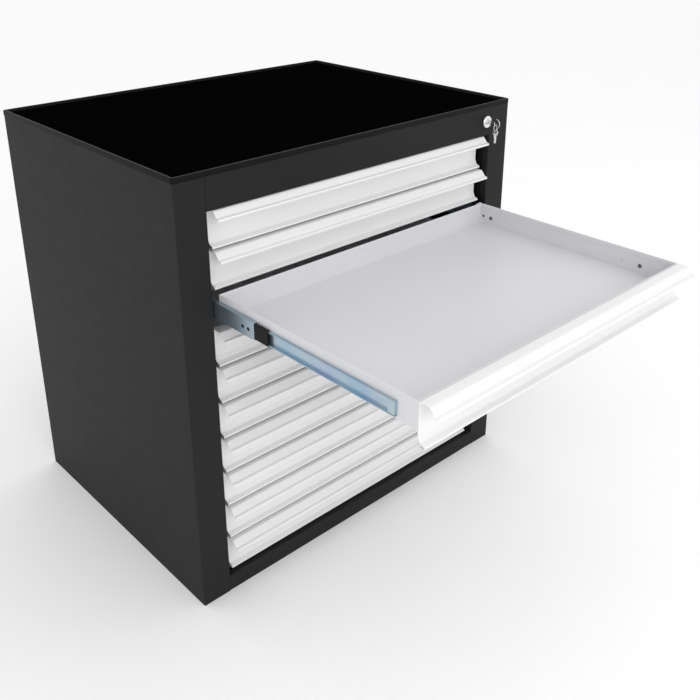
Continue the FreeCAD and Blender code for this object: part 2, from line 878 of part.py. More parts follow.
# Locking bar: it stands outside the tabs, and the crank's pin draws it in behind them.
def make_locking_bar():
    body = new_body("bar")
    outline = body_sketch(body, "outline", "XZ", "bar_back")
    pin = "lock_side + crank_swing"
    slot_left = f"{pin} - pin_diameter / 2 - pin_clearance"
    slot_right = f"{pin} + pin_diameter / 2 + pin_clearance"
    slot_foot = "lock_height - crank_radius - pin_diameter / 2 - pin_clearance"
    slot_head = "lock_height - crank_drop + pin_diameter / 2 + pin_clearance"
    foot = "bottom_rail_height + drawer_height - tab_drop - tab_height - bar_foot"
    corners = [
        ("bar_inner", foot),
        ("bar_outer", foot),
        ("bar_outer", f"{slot_head} + bar_wall"),
        (f"{slot_left} - bar_wall", f"{slot_head} + bar_wall"),
        (f"{slot_left} - bar_wall", f"{slot_foot} - bar_wall"),
        ("bar_inner", f"{slot_foot} - bar_wall"),
    ]
    draw(outline, corners)
    draw_rectangle(outline, slot_left, slot_foot, slot_right, slot_head)
    pad(body, outline, "bar_sheet")
    keep("locking_bar", body)


# Brackets: the hanger that carries the rod, and two guides that the bar slides in.
def make_lock_brackets():
    hanger = new_body("rod_hanger")
    plate = body_sketch(hanger, "plate", "XZ", "crank_front - hanger_setback")
    draw_rectangle(
        plate,
        "lock_side - hanger_width / 2",
        "lock_height - hanger_width / 2",
        "lock_side + hanger_width / 2",
        "side_height",
    )
    draw_circle(plate, "lock_side", "lock_height", "rod_diameter + 2 * rod_hole_clearance")
    pad(hanger, plate, "hanger_sheet")
    flange = body_sketch(hanger, "flange", "XY", "side_height - hanger_sheet")
    draw_rectangle(
        flange,
        "lock_side - hanger_width / 2",
        "crank_front - hanger_setback - hanger_sheet - hanger_flange",
        "lock_side + hanger_width / 2",
        "crank_front - hanger_setback",
    )
    pad(hanger, flange, "hanger_sheet")
    guides = new_body("bar_guides")
    ring = body_sketch(guides, "ring", "XY", "first_level + drawer_height / 6 - drawer_height")
    clear = "guide_clearance"
    inner = f"bar_inner - 2 * crank_swing - {clear}"
    draw_rectangle(
        ring,
        f"{inner} - guide_wall",
        "slide_rear + post_tail",
        f"bar_outer + {clear} + guide_wall",
        f"bar_back + {clear} + guide_wall",
    )
    draw_rectangle(ring, inner, f"bar_front - {clear}", f"bar_outer + {clear}", f"bar_back + {clear}")
    first = pad(guides, ring, "guide_height")
    repeat(guides, [first], "Z", "(drawer_count - 3) * drawer_height", "2", backwards=True)
    keep("lock_brackets", group("brackets", [hanger, guides]))


# Key: a round bow with its hole, a shoulder against the plug and the blade in the keyway.
def make_key():
    body = new_body("key_form")
    bow = body_sketch(body, "bow", "YZ", "0 - key_thickness / 2")
    draw_circle(bow, "bow_centre", "0", "key_bow")
    draw_circle(bow, "bow_centre", "0", "key_hole")
    pad(body, bow, "key_thickness")
    neck = body_sketch(body, "neck", "YZ", "0 - key_thickness / 2")
    half = "key_blade / 2"
    shoulder = "key_blade / 2 + key_shoulder / 2"
    bow_edge = "bow_centre + key_hole / 2 + band_width / 2"
    corners = [
        (bow_edge, f"0 - ({shoulder})"),
        ("plug_face", f"0 - ({shoulder})"),
        ("plug_face", f"0 - ({half})"),
        ("plug_face + keyway_depth - key_end_gap", f"0 - ({half})"),
        ("plug_face + keyway_depth - key_end_gap", half),
        ("plug_face", half),
        ("plug_face", shoulder),
        (bow_edge, shoulder),
    ]
    draw(neck, corners)
    pad(body, neck, "key_thickness")
    place(body, x="lock_side", z="lock_height")
    keep("key", body)


# Key ring: a wire hoop through the bow, hanging from its lower band.
def make_key_ring():
    ring = document.addObject("Part::Torus", "hoop")
    ring.Placement = FreeCAD.Placement(Vector(), FreeCAD.Rotation(Vector(1, 0, 0), 90))
    bind(ring, Radius1="ring_diameter / 2", Radius2="ring_wire / 2")
    place(ring, "lock_side", "bow_centre", "lock_height + ring_centre")
    keep("key_ring", ring)


# Spare key: it hangs from the hoop with its toothed blade down.
def make_spare_key():
    body = new_body("spare_form")
    bow = body_sketch(body, "bow", "YZ", "0 - key_thickness / 2")
    bow_middle = "spare_hole_diameter / 2 + spare_rim - spare_bow / 2"
    draw_circle(bow, "0", bow_middle, "spare_bow")
    draw_circle(bow, "0", "0", "spare_hole_diameter")
    pad(body, bow, "key_thickness")
    blade = body_sketch(body, "blade", "YZ", "0 - key_thickness / 2")
    half = "spare_blade / 2"
    root = f"{bow_middle} - spare_bow / 2 + spare_rim"
    tip = f"{bow_middle} + spare_bow / 2 - spare_length"
    corners = [(f"0 - ({half})", root), (f"0 - ({half})", f"{tip} + {half}"), ("0", tip)]
    corners.append((half, f"{tip} + {half}"))
    for tooth in range(int(SIZES["tooth_count"])):
        start = f"{tip} + {half} + {tooth} * tooth_width"
        corners.append((f"{half} - tooth_depth", f"{start} + tooth_width / 2"))
        corners.append((half, f"{start} + tooth_width"))
    corners.append((half, root))
    draw(blade, corners)
    pad(body, blade, "key_thickness")
    place(body, "lock_side", "bow_centre", "lock_height + spare_centre")
    keep("spare_key", body)


# Rivets with domed heads down both rear flanges.
def make_fasteners():
    body = new_body("flange_rivets")
    sketch = body_sketch(body, "section", "YZ", "0")
    corners = [
        ("half_depth", "0"),
        ("half_depth + panel_rivet_height", "0"),
        ("half_depth + panel_rivet_height", "panel_rivet / 4"),
        ("half_depth + panel_rivet_height / 2", "panel_rivet / 2"),
        ("half_depth", "panel_rivet / 2"),
    ]
    draw(sketch, corners)
    dome = body.newObject("PartDesign::Revolution", "rivet_dome")
    dome.Profile = sketch
    dome.ReferenceAxis = (origin_of(body, "Y_Axis"), [""])
    dome.Angle = 360
    repeat(body, [dome], "Z", "side_height - 2 * panel_rivet_inset", "panel_rivet_rows")
    place(body, x="half_width - rear_flange / 2", z="panel_rivet_inset")
    keep("fasteners", group("rivets", [body, mirrored("rivets_left", body)]))


make_side_panels()
make_rear_panel()
make_base_panel()
make_top_rail()
make_top_panel()
make_top_rim()
make_top_mat()
make_uprights()
make_outer_channels()
make_drawers()
make_lock_housing()
make_lock_plug()
make_lock_rod()
make_locking_bar()
make_lock_brackets()
make_key()
make_key_ring()
make_spare_key()
make_fasteners()
document.recompute()

for item in document.Objects:
    if "Invalid" in item.State or "Error" in item.State:
        raise RuntimeError(f"{item.Name} failed: {item.State}")
for name, piece in parts.items():
    if piece.Shape.isNull() or not piece.Shape.isValid():
        raise RuntimeError(f"{name} has no valid shape")

os.makedirs("parts", exist_ok=True)
for name, piece in parts.items():
    piece.Shape.exportStep(f"parts/{name}.step")
print(len(parts), "parts")
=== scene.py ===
import math

import bmesh
import bpy
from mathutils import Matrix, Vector


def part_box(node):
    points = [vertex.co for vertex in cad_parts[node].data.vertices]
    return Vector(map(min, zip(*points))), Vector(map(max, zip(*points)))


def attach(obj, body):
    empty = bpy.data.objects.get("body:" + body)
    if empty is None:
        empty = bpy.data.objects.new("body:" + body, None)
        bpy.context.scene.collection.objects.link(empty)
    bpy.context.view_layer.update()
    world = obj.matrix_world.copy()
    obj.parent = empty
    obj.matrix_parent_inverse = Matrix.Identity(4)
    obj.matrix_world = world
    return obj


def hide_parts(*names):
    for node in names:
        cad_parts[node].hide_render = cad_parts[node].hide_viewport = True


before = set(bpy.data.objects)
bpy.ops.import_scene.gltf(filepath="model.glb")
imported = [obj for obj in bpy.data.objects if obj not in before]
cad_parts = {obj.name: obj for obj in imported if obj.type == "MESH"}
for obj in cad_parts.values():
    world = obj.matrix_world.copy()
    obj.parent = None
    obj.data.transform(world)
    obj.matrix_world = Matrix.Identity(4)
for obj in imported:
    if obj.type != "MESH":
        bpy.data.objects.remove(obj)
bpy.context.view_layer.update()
drawerCount = 10
openDrawer = 3


# Shader maths: a field is one socket, and its operators add the nodes, so that 1 - field works too.
class Field:
    def __init__(self, tree, socket):
        self.tree = tree
        self.socket = socket

    def maths(self, operation, *others):
        sockets = [self.socket] + [getattr(other, "socket", other) for other in others]
        return Field(self.tree, node(self.tree, "ShaderNodeMath", sockets, operation=operation).outputs[0])

    def __add__(self, other):
        return self.maths("ADD", other)

    def __sub__(self, other):
        return self.maths("SUBTRACT", other)

    def __mul__(self, other):
        return self.maths("MULTIPLY", other)

    def __radd__(self, other):
        return self + other

    def __rsub__(self, other):
        return self.maths("MULTIPLY_ADD", -1, other)

    def __rmul__(self, other):
        return self * other

    def step(self, low, high):
        inputs = {"Value": self.socket, "From Min": low, "From Max": high}
        ramp = node(self.tree, "ShaderNodeMapRange", inputs)
        return Field(self.tree, ramp.outputs[0])


def node(tree, kind, inputs=(), **settings):
    made = tree.nodes.new(kind)
    for name, setting in settings.items():
        setattr(made, name, setting)
    pairs = inputs.items() if isinstance(inputs, dict) else enumerate(inputs)
    for key, given in pairs:
        if isinstance(given, bpy.types.NodeSocket):
            tree.links.new(given, made.inputs[key])
        else:
            made.inputs[key].default_value = given
    return made


# What a material starts from: its tree, its shader and the object coordinates.
class Finish:
    def __init__(self, name, **constants):
        self.material = bpy.data.materials.new(name)
        self.material.use_nodes = True
        self.tree = self.material.node_tree
        self.shader = self.tree.nodes["Principled BSDF"]
        for key, given in constants.items():
            self.shader.inputs[key.replace("_", " ")].default_value = given
        self.place = node(self.tree, "ShaderNodeTexCoord").outputs["Object"]
        split = node(self.tree, "ShaderNodeSeparateXYZ", [self.place])
        self.x, self.y, self.z = [Field(self.tree, socket) for socket in split.outputs]

    def noise(self, scale, detail=2.0, stretch=(1, 1, 1), rough=0.5):
        mapped = node(self.tree, "ShaderNodeMapping", {"Vector": self.place, "Scale": stretch})
        inputs = {"Vector": mapped.outputs[0], "Scale": scale, "Detail": detail, "Roughness": rough}
        return Field(self.tree, node(self.tree, "ShaderNodeTexNoise", inputs).outputs[0])

    def cells(self, scale):
        inputs = {"Vector": self.place, "Scale": scale}
        return Field(self.tree, node(self.tree, "ShaderNodeTexVoronoi", inputs).outputs["Distance"])

    def blend(self, amount, low, high):
        mix = node(self.tree, "ShaderNodeMix", data_type="RGBA")
        self.tree.links.new(amount.socket, mix.inputs[0])
        for socket, given in ((mix.inputs[6], low), (mix.inputs[7], high)):
            if isinstance(given, bpy.types.NodeSocket):
                self.tree.links.new(given, socket)
            else:
                socket.default_value = (*given, 1)
        return mix.outputs[2]

    def colour(self, socket):
        self.tree.links.new(socket, self.shader.inputs["Base Color"])

    def roughness(self, field):
        self.tree.links.new(field.socket, self.shader.inputs["Roughness"])

    # Edges are eased by a bevel of the given radius under the grain.
    def bump(self, height, strength, distance, ease=0.0006):
        eased = node(self.tree, "ShaderNodeBevel", {"Radius": ease}, samples=6)
        inputs = {
            "Height": height.socket,
            "Strength": strength,
            "Distance": distance,
            "Normal": eased.outputs[0],
        }
        made = node(self.tree, "ShaderNodeBump", inputs)
        self.tree.links.new(made.outputs[0], self.shader.inputs["Normal"])


# Powder coat: a fine orange peel, faint clouding and rubbed lighter edges.
def powderCoat(name, light, dark, rubbed, roughness, peel=0.16, gloss=0.42):
    finish = Finish(name, Specular_IOR_Level=gloss, Coat_Weight=0.04, Coat_Roughness=0.35)
    cloud = finish.noise(3.1, detail=4).step(0.3, 0.7)
    speckle = finish.noise(1900, detail=1).step(0.25, 0.75)
    base = finish.blend(cloud, dark, light)
    grained = finish.blend(0.22 * speckle, base, dark)
    edge = node(finish.tree, "ShaderNodeBevel", {"Radius": 0.0022}, samples=4)
    normal = node(finish.tree, "ShaderNodeNewGeometry").outputs["Normal"]
    across = node(finish.tree, "ShaderNodeVectorMath", [edge.outputs[0], normal], operation="DOT_PRODUCT")
    turned = 1 - Field(finish.tree, across.outputs["Value"]).step(0.8, 0.995)
    worn = turned * finish.noise(38, detail=5, rough=0.7).step(0.35, 0.75)
    finish.colour(finish.blend(0.55 * worn, grained, rubbed))
    finish.roughness(roughness + 0.12 * finish.noise(24, detail=3))
    finish.bump(finish.noise(760, detail=2), peel, 0.0004)
    return finish.material


# Zinc plate: drawn along the slide, with a faint blue and violet tint.
def zincPlate():
    finish = Finish("zincPlate", Metallic=0.92, Specular_IOR_Level=0.5)
    drawn = finish.noise(420, detail=3, stretch=(1, 0.02, 1))
    tint = finish.noise(13, detail=3).step(0.35, 0.65)
    violet = finish.noise(6, detail=1, stretch=(0.2, 1, 0.2)).step(0.5, 0.7)
    cool = finish.blend(0.6 * violet, (0.36, 0.52, 0.66), (0.46, 0.42, 0.66))
    plated = finish.blend(0.8 * tint, cool, (0.52, 0.60, 0.64))
    finish.colour(finish.blend(0.35 * drawn.step(0.3, 0.8), plated, (0.28, 0.38, 0.46)))
    finish.roughness(0.24 + 0.16 * drawn)
    finish.bump(drawn, 0.1, 0.0002)
    return finish.material


def polishedSteel(name, tint, roughness):
    finish = Finish(name, Metallic=1.0)
    rubbed = finish.noise(900, detail=2, stretch=(1, 1, 0.1))
    smudge = finish.noise(90, detail=4).step(0.4, 0.8)
    finish.colour(finish.blend(0.4 * smudge, tint, [shade * 0.6 for shade in tint]))
    finish.roughness(roughness + 0.1 * rubbed + 0.12 * smudge)
    finish.bump(rubbed, 0.05, 0.0001)
    return finish.material


# Moulded plastic: a leather-like mould grain, slightly greyer where it has been rubbed.
def mouldedPlastic(name, base, rubbed, roughness, grain=520):
    finish = Finish(name, Specular_IOR_Level=0.12)
    cells = finish.cells(grain)
    scuff = finish.noise(16, detail=6, rough=0.7).step(0.5, 0.8)
    finish.colour(finish.blend(0.35 * scuff, base, rubbed))
    finish.roughness(roughness + 0.2 * cells)
    finish.bump(cells, 0.22, 0.0003)
    return finish.material


# Rubber mat: a close diamond rib pattern pressed into the sheet, matt and a little dusty.
def ribbedRubber():
    finish = Finish("ribbedRubber", Specular_IOR_Level=0.0)
    pitch = 2 * math.pi / 0.004
    one = ((finish.x + finish.y) * pitch).maths("SINE")
    two = ((finish.x - finish.y) * pitch).maths("SINE")
    ribs = one.maths("MAXIMUM", two)
    dust = finish.noise(7, detail=6, rough=0.65).step(0.45, 0.85)
    finish.colour(finish.blend(0.2 * dust, (0.0012, 0.0012, 0.0013), (0.004, 0.004, 0.004)))
    finish.roughness(0.78 + 0.12 * dust)
    finish.bump(ribs, 0.25, 0.0004)
    return finish.material


bodyPaint = powderCoat(
    "bodyPaint",
    (0.0150, 0.0150, 0.0154),
    (0.0125, 0.0125, 0.0129),
    (0.07, 0.07, 0.07),
    0.55,
    gloss=0.14,
)
# Inside posts: a darker copy of the body paint, a painted shade of the closed interior.
shadedInnerPaint = powderCoat(
    "shadedInnerPaint",
    (0.010, 0.010, 0.011),
    (0.008, 0.008, 0.009),
    (0.03, 0.03, 0.03),
    0.6,
    gloss=0.1,
)
drawerPaint = powderCoat(
    "drawerPaint",
    (0.80, 0.80, 0.805),
    (0.77, 0.77, 0.775),
    (0.86, 0.86, 0.86),
    0.4,
    0.08,
    0.3,
)
trayPaint = powderCoat(
    "trayPaint",
    (0.68, 0.68, 0.70),
    (0.65, 0.65, 0.67),
    (0.82, 0.82, 0.82),
    0.4,
    0.08,
)
zinc = zincPlate()
steel = polishedSteel("rivetSteel", (0.55, 0.56, 0.58), 0.3)
darkSteel = polishedSteel("screwSteel", (0.16, 0.16, 0.17), 0.35)
chrome = polishedSteel("keyChrome", (0.82, 0.82, 0.83), 0.12)
rimPlastic = mouldedPlastic("rimPlastic", (0.003, 0.003, 0.0032), (0.012, 0.012, 0.0125), 0.42)
blackPlastic = mouldedPlastic("blackPlastic", (0.008, 0.008, 0.0085), (0.03, 0.03, 0.03), 0.32)
matRubber = ribbedRubber()
print("materials made")


# Meshes: a piece keeps its place in its vertices, and its object stays at the origin.
def finishMesh(name, work, material, body, smooth, replaced=()):
    bmesh.ops.recalc_face_normals(work, faces=work.faces)
    mesh = bpy.data.meshes.new(name)
    work.to_mesh(mesh)
    work.free()
    mesh.shade_smooth()
    mesh.set_sharp_from_angle(angle=math.radians(smooth))
    mesh.materials.append(material)
    piece = bpy.data.objects.new(name, mesh)
    bpy.context.scene.collection.objects.link(piece)
    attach(piece, body)
    if replaced:
        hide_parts(*replaced)


def addLoft(work, rings, capStart=True, capEnd=True):
    rows = [[work.verts.new(point) for point in ring] for ring in rings]
    count = len(rows[0])
    for near, far in zip(rows, rows[1:]):
        for index in range(count):
            follower = (index + 1) % count
            work.faces.new((near[index], near[follower], far[follower], far[index]))
    if capStart:
        work.faces.new(rows[0][::-1])
    if capEnd:
        work.faces.new(rows[-1])


def roundedRing(centre, half, radius, height, steps=6):
    ring = []
    for quarter, (signX, signY) in enumerate(((1, 1), (-1, 1), (-1, -1), (1, -1))):
        corner = (centre[0] + signX * (half[0] - radius), centre[1] + signY * (half[1] - radius))
        for step in range(steps + 1):
            angle = math.pi / 2 * (quarter + step / steps)
            x = corner[0] + radius * math.cos(angle)
            y = corner[1] + radius * math.sin(angle)
            ring.append((x, y, height))
    return ring


def circleRing(centre, radius, station, steps):
    ring = []
    for step in range(steps):
        angle = 2 * math.pi * step / steps
        ring.append((centre[0] + radius * math.cos(angle), station, centre[1] + radius * math.sin(angle)))
    return ring


# A lathe along Y: radii at stations, joined into a hollow ring.
def addTurned(work, centre, profile, steps):
    rings = [circleRing(centre, radius, station, steps) for station, radius in profile]
    rings.append(rings[0])
    addLoft(work, rings, capStart=False, capEnd=False)
    bmesh.ops.remove_doubles(work, verts=work.verts, dist=0.000001)


# Corners of a line in a plane, each rounded by its own radius.
def roundLine(corners, steps=5):
    line = [Vector(corners[0][:2])]
    for before, corner, after in zip(corners, corners[1:], corners[2:]):
        middle = Vector(corner[:2])
        radius = corner[2]
        inward = (Vector(before[:2]) - middle).normalized()
        onward = (Vector(after[:2]) - middle).normalized()
        half = inward.angle(onward) / 2
        start = middle + inward * radius / math.tan(half)
        centre = middle + (inward + onward).normalized() * radius / math.sin(half)
        arm = start - centre
        sweep = math.pi - 2 * half
        sign = 1 if inward.cross(onward) < 0 else -1
        for step in range(steps + 1):
            angle = sign * sweep * step / steps
            cosine = math.cos(angle)
            sine = math.sin(angle)
            line.append(centre + Vector((arm.x * cosine - arm.y * sine, arm.x * sine + arm.y * cosine)))
    line.append(Vector(corners[-1][:2]))
    return line


def thicken(line, thickness):
    inner = []
    for index, point in enumerate(line):
        before = line[max(index - 1, 0)]
        after = line[min(index + 1, len(line) - 1)]
        along = (after - before).normalized()
        inner.append(point + Vector((along.y, -along.x)) * thickness)
    return inner


# A folded strip along X: its line lies in the YZ plane, and its two ends are slightly eased.
def addFoldedStrip(work, line, thickness, left, right, ease):
    outer = line
    inner = thicken(line, thickness)
    rings = []
    for station, pull in ((left, ease), (left + ease, 0), (right - ease, 0), (right, ease)):
        ring = []
        for near, far in list(zip(outer, inner)) + list(zip(inner, outer))[::-1]:
            point = near + (far - near).normalized() * pull
            ring.append((station, point.x, point.y))
        rings.append(ring)
    addLoft(work, rings, capStart=False, capEnd=False)
    count = len(outer)
    for station in (0, -1):
        ring = rings[station]
        for index in range(count - 1):
            quad = [ring[index], ring[index + 1], ring[-2 - index], ring[-1 - index]]
            work.faces.new([work.verts.new(point) for point in quad])
    bmesh.ops.remove_doubles(work, verts=work.verts, dist=0.00001)


# Drawer fronts: one folded sheet each, from the rolled nose of the grip to the lip's return.
frontValues = {
    "sheet": 0.0012,
    "gripReach": 0.042,
    "gripDrop": 0.0145,
    "noseHeight": 0.005,
    "gripFlat": 0.023,
    "stepReach": 0.012,
    "stepDrop": 0.0135,
    "recessHeight": 0.064,
    "kneeReach": 0.005,
    "kneeDrop": 0.0125,
    "lipReach": 0.015,
    "lipDrop": 0.004,
    "lipReturn": 0.012,
    "bend": 0.0024,
    "gripBend": 0.003,
    "wideBend": 0.007,
    "lipBend": 0.001,
    "endEase": 0.0004,
}


def makeFront(number):
    values = frontValues
    body = f"drawer_{number:02d}"
    low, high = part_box(f"{body}_front")
    back = high[1]
    top = high[2]
    bottom = low[2]
    plane = back - values["sheet"]
    nose = plane - values["gripReach"]
    noseLow = top - values["gripDrop"] - values["noseHeight"]
    stepY = plane - values["gripFlat"] - values["stepReach"]
    kneeZ = top - values["recessHeight"] - values["kneeDrop"]
    lipY = back - values["lipReach"]
    floorZ = bottom + values["sheet"]
    corners = [
        (nose, noseLow, 0),
        (nose, top - values["gripDrop"], values["bend"]),
        (stepY, top - values["stepDrop"], values["gripBend"]),
        (plane - values["gripFlat"], top, values["gripBend"]),
        (back, top, values["bend"]),
        (back, top - values["recessHeight"], values["wideBend"]),
        (back - values["kneeReach"], kneeZ, values["wideBend"]),
        (lipY, kneeZ - values["lipDrop"], values["lipBend"]),
        (lipY, floorZ, values["lipBend"]),
        (lipY + values["lipReturn"], floorZ, 0),
    ]
    work = bmesh.new()
    addFoldedStrip(work, roundLine(corners), values["sheet"], low[0], high[0], values["endEase"])
    finishMesh(f"front{number:02d}", work, drawerPaint, body, 30, [f"{body}_front"])


for number in range(1, drawerCount + 1):
    makeFront(number)
print("fronts made")


# Rim tray: a moulded lip with a rolled outer edge and a small step inside it.
rimValues = {
    "lip": 0.008,
    "corner": 0.008,
    "roll": 0.0022,
    "step": 0.0016,
    "ease": 0.0006,
    "play": 0.0002,
    "toe": 0.0008,
    "underReach": 0.0128,
    "floorReach": 0.032,
    "leastCorner": 0.002,
    "cornerShare": 0.7,
    "cornerSteps": 8,
    "rollSteps": 4,
}


def makeRim():
    values = rimValues
    low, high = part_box("top_rim")
    centre = ((low[0] + high[0]) / 2, (low[1] + high[1]) / 2)
    size = ((high[0] - low[0]) / 2, (high[1] - low[1]) / 2)
    roll = values["roll"]
    lip = values["lip"]
    rise = values["step"]
    rings = []

    def addRing(inset, height):
        half = (size[0] - inset, size[1] - inset)
        radius = max(values["corner"] - inset * values["cornerShare"], values["leastCorner"])
        rings.append(roundedRing(centre, half, radius, height, values["cornerSteps"]))

    addRing(values["underReach"], low[2])
    addRing(values["ease"], low[2])
    addRing(0, low[2] + values["ease"])
    for step in range(values["rollSteps"] + 1):
        angle = math.pi / 2 * step / values["rollSteps"]
        addRing(roll * (1 - math.cos(angle)), high[2] - roll * (1 - math.sin(angle)))
    for step in range(values["rollSteps"] + 1):
        angle = math.pi / 2 * step / values["rollSteps"]
        inset = lip - roll + roll * math.sin(angle)
        addRing(inset, high[2] - roll * (1 - math.cos(angle)))
    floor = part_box("top_mat")[0][2]
    addRing(lip + values["play"], floor + 2 * rise)
    addRing(lip + rise, floor + rise)
    addRing(lip + rise + values["toe"], floor)
    addRing(values["floorReach"], floor)
    work = bmesh.new()
    addLoft(work, rings, capStart=False, capEnd=True)
    finishMesh("rimTray", work, rimPlastic, "root", 40, ["top_rim"])


# Mat: its edge is cut square and slightly eased, and it lies a little short of the lip.
matValues = {
    "gap": 0.002,
    "corner": 0.006,
    "underEase": 0.0004,
    "topEase": 0.0008,
    "cornerSteps": 8,
}


def makeMat():
    values = matValues
    low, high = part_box("top_mat")
    centre = ((low[0] + high[0]) / 2, (low[1] + high[1]) / 2)
    size = ((high[0] - low[0]) / 2 - values["gap"], (high[1] - low[1]) / 2 - values["gap"])
    under = values["underEase"]
    over = values["topEase"]
    rings = []
    for inset, height in ((under, low[2]), (0, low[2] + under), (0, high[2] - over), (over, high[2])):
        half = (size[0] - inset, size[1] - inset)
        rings.append(roundedRing(centre, half, values["corner"], height, values["cornerSteps"]))
    work = bmesh.new()
    addLoft(work, rings)
    finishMesh("rubberMat", work, matRubber, "root", 40, ["top_mat"])


makeRim()
makeMat()
print("top made")


# Lock: a domed collar with a stepped ring round the plug, its barrel and the nut behind.
lockValues = {
    "collarRound": 0.0034,
    "rearEase": 0.0004,
    "rearRise": 0.0006,
    "grooveDepth": 0.0006,
    "grooveOuter": 0.0088,
    "grooveSlope": 0.0004,
    "grooveInner": 0.0072,
    "boreRim": 0.0066,
    "barrel": 0.0095,
    "nut": 0.0135,
    "nutHeight": 0.004,
    "bore": 0.0061,
    "sheet": 0.0015,
    "roundSteps": 6,
    "sides": 64,
}


def makeLock():
    values = lockValues
    low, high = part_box("lock_housing")
    centre = ((low[0] + high[0]) / 2, (low[2] + high[2]) / 2)
    radius = (high[0] - low[0]) / 2
    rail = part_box("top_rail")[0][1]
    face = low[1]
    turn = values["collarRound"]
    inside = rail + values["sheet"]
    profile = [
        (high[1], values["bore"]),
        (high[1], values["barrel"]),
        (inside + values["nutHeight"], values["barrel"]),
        (inside + values["nutHeight"], values["nut"]),
        (inside, values["nut"]),
        (inside, values["barrel"]),
        (rail, values["barrel"]),
        (rail, radius - values["rearEase"]),
        (rail - values["rearRise"], radius),
    ]
    for step in range(values["roundSteps"] + 1):
        angle = math.pi / 2 * step / values["roundSteps"]
        profile.append((face + turn * (1 - math.sin(angle)), radius - turn * (1 - math.cos(angle))))
    sunk = face + values["grooveDepth"]
    slope = values["grooveSlope"]
    profile += [(face, values["grooveOuter"]), (sunk, values["grooveOuter"] - slope)]
    profile += [(sunk, values["grooveInner"] + slope), (face, values["grooveInner"])]
    profile += [(face, values["boreRim"]), (sunk, values["bore"])]
    work = bmesh.new()
    addTurned(work, centre, profile, values["sides"])
    finishMesh("lockBarrel", work, chrome, "root", 30, ["lock_housing"])


makeLock()
print("lock made")


# Slot shade: black round-ended plates laid over the openings near the front of each middle channel of the
# open drawer, a painted shade of the holes.
slotShadeValues = {
    "lead": 0.040,
    "stations": (0.018, 0.036),
    "length": 0.009,
    "height": 0.007,
    "depth": 0.0001,
    "proud": 0.00005,
    "roundShare": 0.98,
}


def plateRing(centre, half, radius, station):
    return [(station, along, level) for along, level, _ in roundedRing(centre, half, radius, 0)]


def makeSlotShade():
    values = slotShadeValues
    name = f"drawer_{openDrawer:02d}_middle"
    low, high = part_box(f"{name}_slides")
    middle = (low[2] + high[2]) / 2
    half = (values["length"] / 2, values["height"] / 2)
    radius = half[1] * values["roundShare"]
    faces = (high[0] - values["depth"], high[0] + values["proud"])
    work = bmesh.new()
    for side in (-1, 1):
        for station in values["stations"]:
            centre = (low[1] + values["lead"] + station, middle)
            addLoft(work, [plateRing(centre, half, radius, side * face) for face in faces])
    finishMesh("channelSlotShade", work, blackPlastic, name, 30)


# Slide balls: a row of steel balls in each cage of the open drawer, set out by nodes.
ballValues = {
    "radius": 0.0011,
    "count": 11,
    "spacing": 0.0095,
    "inset": 0.0060,
    "lead": 0.006,
    "level": 0.0164,
    "segments": 12,
    "rings": 8,
}


def ballRowTree():
    tree = bpy.data.node_groups.new("ballRow", "GeometryNodeTree")
    face = tree.interface
    face.new_socket("Geometry", in_out="OUTPUT", socket_type="NodeSocketGeometry")
    for name, kind in (("Count", "Int"), ("Spacing", "Float"), ("Radius", "Float"), ("Start", "Vector")):
        face.new_socket(name, in_out="INPUT", socket_type=f"NodeSocket{kind}")
    face.new_socket("Material", in_out="INPUT", socket_type="NodeSocketMaterial")
    given = node(tree, "NodeGroupInput")
    step = node(tree, "ShaderNodeCombineXYZ", {"Y": given.outputs["Spacing"]})
    inputs = {
        "Count": given.outputs["Count"],
        "Start Location": given.outputs["Start"],
        "Offset": step.outputs[0],
    }
    line = node(tree, "GeometryNodeMeshLine", inputs)
    inputs = {
        "Segments": ballValues["segments"],
        "Rings": ballValues["rings"],
        "Radius": given.outputs["Radius"],
    }
    ball = node(tree, "GeometryNodeMeshUVSphere", inputs)
    smooth = node(tree, "GeometryNodeSetShadeSmooth", {"Geometry": ball.outputs["Mesh"]})
    inputs = {"Points": line.outputs["Mesh"], "Instance": smooth.outputs[0]}
    placed = node(tree, "GeometryNodeInstanceOnPoints", inputs)
    real = node(tree, "GeometryNodeRealizeInstances", {"Geometry": placed.outputs[0]})
    inputs = {"Geometry": real.outputs[0], "Material": given.outputs["Material"]}
    coloured = node(tree, "GeometryNodeSetMaterial", inputs)
    node(tree, "NodeGroupOutput", [coloured.outputs[0]])
    return tree


def makeBallRow(name, tree, start, body):
    carrier = bpy.data.objects.new(name, bpy.data.meshes.new(name))
    bpy.context.scene.collection.objects.link(carrier)
    modifier = carrier.modifiers.new("row", "NODES")
    modifier.node_group = tree
    inputs = {
        "Count": ballValues["count"],
        "Spacing": ballValues["spacing"],
        "Radius": ballValues["radius"],
        "Start": start,
        "Material": steel,
    }
    for item in tree.interface.items_tree:
        if item.in_out == "INPUT":
            modifier[item.identifier] = inputs[item.name]
    graph = bpy.context.evaluated_depsgraph_get()
    made = bpy.data.meshes.new_from_object(carrier.evaluated_get(graph))
    carrier.modifiers.remove(modifier)
    carrier.data = made
    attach(carrier, body)


def makeBalls():
    values = ballValues
    name = f"drawer_{openDrawer:02d}_middle"
    low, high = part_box(f"{name}_slides")
    middle = (low[2] + high[2]) / 2
    across = high[0] - values["inset"]
    along = low[1] + values["lead"]
    tree = ballRowTree()
    for side in (-1, 1):
        for level in (-1, 1):
            start = (side * across, along, middle + level * values["level"])
            makeBallRow(f"balls{side + 1}{level + 1}", tree, start, name)


makeSlotShade()
makeBalls()
print("slides made")


